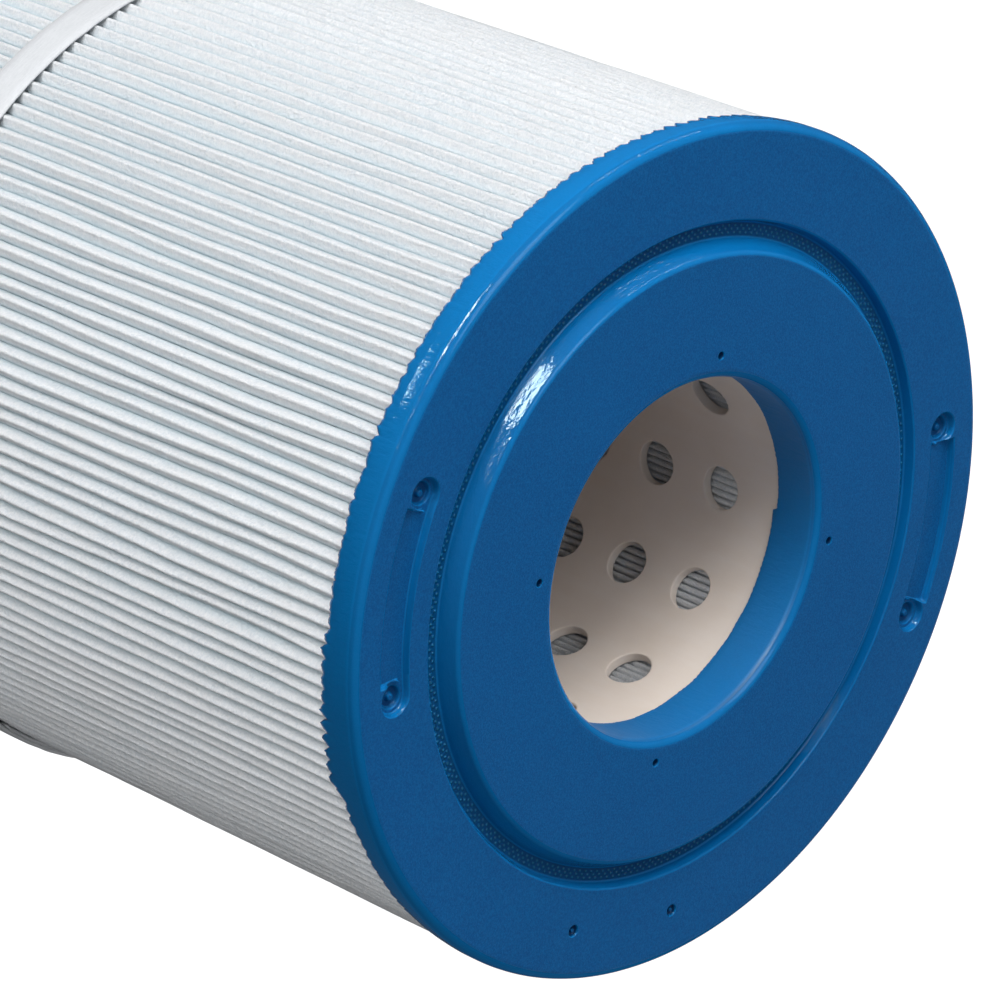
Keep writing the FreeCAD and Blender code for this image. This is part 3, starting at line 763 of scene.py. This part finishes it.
def make_core(material):
    """A cell for each side hole, all with matching edges, and a strip at each end."""
    pitch = (LENGTH - 2 * CORE_FIRST) / (CORE_ROWS - 1)
    per_side = 10
    around = 4 * per_side
    step = 360 / CORE_PER_ROW
    half_w, half_h = math.radians(step / 2), pitch / 2
    corner = np.array([(1, 1), (-1, 1), (-1, -1), (1, -1)], float)
    square = np.vstack(
        [corner[k - 1] + (corner[k] - corner[k - 1]) * np.arange(per_side)[:, None] / per_side for k in range(4)]
    )
    mean_radius = (CORE_INNER + CORE_OUTER) / 2
    edge = square * [half_w * mean_radius, half_h]
    direction = np.arctan2(edge[:, 1], edge[:, 0])
    circle = np.column_stack([np.cos(direction), np.sin(direction)])
    round_over = 0.35
    wall = [
        (1.0, None, CORE_INNER), (0.45, None, CORE_INNER), (0.0, 0.75, CORE_INNER), (0.0, round_over, CORE_INNER),
        (0.0, round_over * 0.3, CORE_INNER + 0.1), (0.0, 0.0, CORE_INNER + round_over),
        (0.0, 0.0, CORE_OUTER - round_over), (0.0, round_over, CORE_OUTER), (0.5, None, CORE_OUTER),
        (1.0, None, CORE_OUTER),
    ]  # fmt: skip
    points, faces, index = [], [], {}

    def point(angle, z, radius):
        key = (round(angle % 360, 3) % 360, round(z, 3), round(radius, 3))
        if key not in index:
            index[key] = len(points)
            turn = math.radians(key[0])
            points.append((radius * math.cos(turn), radius * math.sin(turn), z))
        return index[key]

    for row in range(CORE_ROWS):
        for column in range(CORE_PER_ROW):
            middle, level = CORE_PHASE + column * step, CORE_FIRST + row * pitch
            previous = None
            for share, grow, radius in wall:
                if grow is None:
                    flat = circle * CORE_HOLE * 1.1 * (1 - share) + edge * share
                else:
                    flat = circle * (CORE_HOLE + grow)
                ring = [point(middle + math.degrees(a / mean_radius), level + b, radius) for a, b in flat]
                if previous:
                    after = np.roll(ring, -1)
                    before = np.roll(previous, -1)
                    faces += np.column_stack([previous, ring, after, before]).tolist()
                previous = ring
    # end strips, from the last cells to the tube's ends, seated in the caps
    across = [CORE_PHASE + column * step + step * (k / per_side - 0.5) for column in range(CORE_PER_ROW) for k in range(per_side)]
    for cell_edge, end in ((CORE_FIRST - half_h, CORE_SEAT + 0.2), (LENGTH - CORE_FIRST + half_h, LENGTH - CORE_SEAT - 0.2)):
        upper = end > cell_edge
        lip = -0.3 if upper else 0.3
        path = [
            (cell_edge, CORE_INNER), ((cell_edge + end) / 2, CORE_INNER), (end + lip, CORE_INNER),
            (end, CORE_INNER + 0.3), (end, CORE_OUTER - 0.3), (end + lip, CORE_OUTER),
            ((cell_edge + end) / 2, CORE_OUTER), (cell_edge, CORE_OUTER),
        ]  # fmt: skip
        rings = [[point(a, z, radius) for a in across] for z, radius in path]
        for low, high in zip(rings, rings[1:]):
            quads = [low, high, np.roll(high, -1), np.roll(low, -1)]
            if not upper:
                quads.reverse()
            faces += np.column_stack(quads).tolist()
    obj = add_mesh("core_tube_moulding", points, faces, [material])
    even_normals(obj)
    return obj


# ---------------------------------------------------------------- strap and glue

BAND_THICKNESS, LAP_START, LAP_ANGLE = 1.0, 240.0, 16.0


def make_band(material):
    """One strap wrapped a little over a full turn, its end welded down over its start."""
    steps = 720
    total = 360 + LAP_ANGLE
    angle = LAP_START + np.linspace(0, total, steps + 1)
    under = smoothstep(0, LAP_ANGLE + 2, angle - LAP_START - 360 + 3)
    base = TIP_RADIUS + 0.06 + 0.05 * ripple(21, angle, 60)
    ramp = smoothstep(-5, 1.5, angle - LAP_START - 360)
    base = base + ramp * (BAND_THICKNESS + 0.02)
    wander = 0.35 * ripple(22, angle, 3) * (1 - ramp) + 0.5 * under * ramp
    thin = 0.35
    half = BAND_WIDTH / 2
    section = [
        (-half + thin, 0), (0, 0), (half - thin, 0), (half, thin), (half, BAND_THICKNESS - thin),
        (half - thin, BAND_THICKNESS), (half * 0.5, BAND_THICKNESS + 0.03), (0, BAND_THICKNESS + 0.05),
        (-half * 0.5, BAND_THICKNESS + 0.03), (-half + thin, BAND_THICKNESS), (-half, BAND_THICKNESS - thin),
        (-half, thin),
    ]  # fmt: skip
    points = []
    tip = smoothstep(0, 1.2, np.minimum(angle - LAP_START, LAP_START + total - angle))
    for k, a in enumerate(angle):
        turn = math.radians(a)
        for z, out in section:
            radius = base[k] + out * (0.45 + 0.55 * tip[k])
            points.append((radius * math.cos(turn), radius * math.sin(turn), BAND_MIDDLE + wander[k] * 0.4 + z))
    size = len(section)
    here = np.arange(size)
    faces = []
    for k in range(steps):
        low, high = k * size, (k + 1) * size
        quads = np.column_stack([low + here, low + np.roll(here, -1), high + np.roll(here, -1), high + here])
        faces += quads[:, ::-1].tolist()
    faces.append([int(v) for v in here])
    faces.append([int(steps * size + v) for v in here[::-1]])
    return add_mesh("strap", points, faces, [material])


def make_seam(material):
    """Glue in the valley that closes the sheet: a wavy wedge with lumps."""
    levels = np.linspace(9.5, LENGTH - 9.5, 240)
    turn = math.radians(SEAM_ANGLE)
    wide = np.interp(levels, [0, LENGTH], [0.55, 0.55]) * (1 + 0.22 * np.sin(levels / 5.1) * np.sin(levels / 13.7))
    crown = 103.9 + 0.55 * np.sin(levels / 9.3) + 0.3 * np.sin(levels / 3.7 + 1)
    points, faces = [], []
    shape = [(-1, 0.0), (-0.82, 0.55), (-0.35, 0.92), (0.35, 0.92), (0.82, 0.55), (1, 0.0), (0.45, -7.5), (-0.45, -7.5)]
    for k, z in enumerate(levels):
        for side, out in shape:
            radius, off = crown[k] + out * 0.9, side * wide[k]
            points.append((radius * math.cos(turn) - off * math.sin(turn), radius * math.sin(turn) + off * math.cos(turn), z))
    size = len(shape)
    here = np.arange(size)
    for k in range(len(levels) - 1):
        low, high = k * size, (k + 1) * size
        quads = np.column_stack([low + here, low + np.roll(here, -1), high + np.roll(here, -1), high + here])
        faces += quads[:, ::-1].tolist()
    faces.append([int(v) for v in here])
    faces.append([int((len(levels) - 1) * size + v) for v in here[::-1]])
    return add_mesh("seam_glue_line", points, faces, [material])


# ---------------------------------------------------------------- assembly

urethane = urethane_material()
fabric = fabric_material()
plastic = core_material()
strap_cloth = strap_material()
glue = glue_material()


def on_top(points):
    return points + [0, 0, LENGTH]


def on_bottom(points):
    return points * [1, -1, -1]


top_cap = make_cap("top_cap_casting", urethane, 5, TOP_EDGE, on_top)
bottom_cap = make_cap("bottom_cap_casting", urethane, 31, ((0, 0.4), (70, -0.3), (160, 0.2), (230, -0.9), (300, 0.1)), on_bottom)
sheet = make_media(fabric)
core = make_core(plastic)
strap = make_band(strap_cloth)
seam = make_seam(glue)

for piece, node, slot in (
    (top_cap, "top_end_cap", "cast_urethane"),
    (bottom_cap, "bottom_end_cap", "cast_urethane"),
    (sheet, "pleated_media", "filter_fabric"),
    (core, "core_tube", "core_plastic"),
    (strap, "centre_band", "strap_fabric"),
    (seam, "side_seam_bead", "seam_glue"),
):
    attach(piece, "root")
    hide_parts(node)

# ---------------------------------------------------------------- floor, backdrop, light, camera


def camera_only(obj):
    """The floor and backdrop are seen, but the soft lamps alone light the cartridge."""
    obj.visible_diffuse = False
    obj.visible_glossy = False
    obj.visible_transmission = False
    obj.visible_shadow = False


FLOOR_HEIGHT = -0.3


def make_stage():
    pale = floor_material()
    rings, spokes = np.array([0.0, 0.6, 2.0, 6.0, 12.0]), 96
    points, faces = [], []
    for r in rings[1:]:
        for k in range(spokes):
            turn = 2 * math.pi * k / spokes
            points.append((1000 * r * math.cos(turn), 1000 * r * math.sin(turn), FLOOR_HEIGHT))
    wall_heights = (0.6, 2.0, 5.0, 9.0, 12.0)
    wall_radii = (12.6, 13.2, 13.4, 11.0, 6.0)
    for z, r in zip(wall_heights, wall_radii):
        for k in range(spokes):
            turn = 2 * math.pi * k / spokes
            points.append((1000 * r * math.cos(turn), 1000 * r * math.sin(turn), 1000 * z))
    levels = len(rings) - 1 + len(wall_heights)
    here = np.arange(spokes)
    faces.append(here.tolist())
    for k in range(levels - 1):
        low, high = k * spokes, (k + 1) * spokes
        faces += np.column_stack([low + here, high + here, high + np.roll(here, -1), low + np.roll(here, -1)]).tolist()
    faces.append(((levels - 1) * spokes + here).tolist())
    floor = add_mesh("studio_floor", points, faces, [pale])
    camera_only(floor)
    return floor


def direction(azimuth, elevation):
    a, e = math.radians(azimuth), math.radians(elevation)
    return Vector((math.cos(a) * math.cos(e), math.sin(a) * math.cos(e), math.sin(e)))


def lamp(name, azimuth, elevation, distance, size, power, colour=(1, 1, 1), only=None, kind="both"):
    """A soft rectangular lamp that faces the cartridge, for its diffuse light, its gloss or both."""
    data = bpy.data.lights.new(name, "AREA")
    data.shape = "RECTANGLE"
    data.size, data.size_y = size
    data.energy = power
    data.color = colour
    obj = bpy.data.objects.new(name, data)
    bpy.context.scene.collection.objects.link(obj)
    target = Vector((0, 0, 0.3))
    obj.location = target + direction(azimuth, elevation) * distance
    obj.rotation_mode = "QUATERNION"
    obj.rotation_quaternion = (obj.location - target).to_track_quat("Z", "Y")
    obj.visible_camera = False
    obj.visible_diffuse = kind != "glossy"
    obj.visible_glossy = kind != "diffuse"
    if only is not None:
        group = bpy.data.collections.new(name + " receivers")
        for item in only:
            group.objects.link(item)
        obj.light_linking.receiver_collection = group
    return obj


floor = make_stage()
shown = [top_cap, bottom_cap, sheet, core, strap, seam]
caps, cloth, daylight = [top_cap, bottom_cap], [sheet, strap, seam], (0.74, 0.97, 1.0)
lamp("key softbox", 108, 14, 2.2, (1.7, 1.5), 56, (1.0, 0.985, 0.97), only=[*caps, core], kind="diffuse")
lamp("key strip", 108, 14, 2.2, (5.6, 0.055), 30, daylight, only=caps, kind="glossy")
lamp("top softbox", 100, 52, 2.4, (1.2, 1.2), 9, (0.97, 0.985, 1.0), only=shown)
lamp("table bounce", 250, 0, 1.5, (2.2, 2.2), 9.5, (1.0, 0.97, 0.94), only=[*caps, core], kind="diffuse")
lamp("pleat key", 108, 14, 2.2, (2.4, 1.8), 29, (0.985, 0.99, 1.0), only=cloth)
lamp("pleat fill", 150, 10, 2.0, (2.0, 1.6), 38, (0.985, 0.99, 1.0), only=cloth)
lamp("core fill", 115, 32, 2.0, (1.0, 0.8), 5, (1.0, 0.97, 0.94), only=[core], kind="diffuse")
lamp("back fill", 330, 4, 2.2, (2.2, 1.8), 26, only=caps, kind="diffuse")
lamp("pleat back", 350, 6, 2.2, (1.6, 1.8), 105, (0.985, 0.99, 1.0), only=cloth, kind="diffuse")
window = lamp("window", 130.5, 11, 2.0, (0.7, 0.45), 37, daylight, only=caps, kind="glossy")
lamp("low glint", 143.5, -41, 1.6, (0.08, 0.18), 1.5, (0.6, 0.95, 1.0), only=[top_cap], kind="glossy")

floor_lamp = bpy.data.lights.new("floor wash", "SUN")
floor_lamp.energy = 3.3
floor_lamp.angle = math.radians(40)
floor_wash = bpy.data.objects.new("floor wash", floor_lamp)
bpy.context.scene.collection.objects.link(floor_wash)
floor_only = bpy.data.collections.new("floor wash receivers")
floor_only.objects.link(floor)
floor_wash.light_linking.receiver_collection = floor_only
nothing = bpy.data.collections.new("blockers of the unshadowed lamps")
nothing.objects.link(floor)
for unshadowed in (floor_wash, window):
    unshadowed.light_linking.blocker_collection = nothing

world = bpy.data.worlds.new("studio")
world.use_nodes = True
tree = world.node_tree
tree.nodes.clear()
coordinate = tree.nodes.new("ShaderNodeTexCoord")
facing = tree.nodes.new("ShaderNodeVectorMath")
facing.operation = "DOT_PRODUCT"
tree.links.new(coordinate.outputs["Generated"], facing.inputs[0])
facing.inputs[1].default_value = direction(105, 25)
spread = tree.nodes.new("ShaderNodeMapRange")
tree.links.new(facing.outputs["Value"], spread.inputs["Value"])
spread.inputs["From Min"].default_value = -0.3
spread.inputs["From Max"].default_value = 1.0
spread.inputs["To Min"].default_value = 0.045
spread.inputs["To Max"].default_value = 0.32
background = tree.nodes.new("ShaderNodeBackground")
background.inputs["Color"].default_value = (0.94, 0.97, 1.0, 1)
tree.links.new(spread.outputs["Result"], background.inputs["Strength"])
out = tree.nodes.new("ShaderNodeOutputWorld")
tree.links.new(background.outputs["Background"], out.inputs["Surface"])
bpy.context.scene.world = world

bpy.context.scene.view_settings.view_transform = "Standard"
bpy.context.scene.view_settings.look = "None"

# The photograph was taken from above one side of the upright cartridge, with the camera rolled
EYE = Vector((-1.033566, 0.383172, 1.259186))
AIM = Vector((-0.072758, 0.023275, 0.37465))
ROLL = -112.36
LENS = 201.584

ahead = (AIM - EYE).normalized()
level = ahead.cross(Vector((0, 0, 1))).normalized()
upright = level.cross(ahead)
roll = math.radians(ROLL)
up = math.cos(roll) * upright + math.sin(roll) * level
right = ahead.cross(up)
camera_data = bpy.data.cameras.new("camera")
camera_data.lens = LENS
camera_data.sensor_width = 36
camera_data.clip_start, camera_data.clip_end = 0.05, 60
camera = bpy.data.objects.new("camera", camera_data)
bpy.context.scene.collection.objects.link(camera)
camera.matrix_world = Matrix.Translation(EYE) @ Matrix((right, up, -ahead)).transposed().to_4x4()
bpy.context.scene.camera = camera
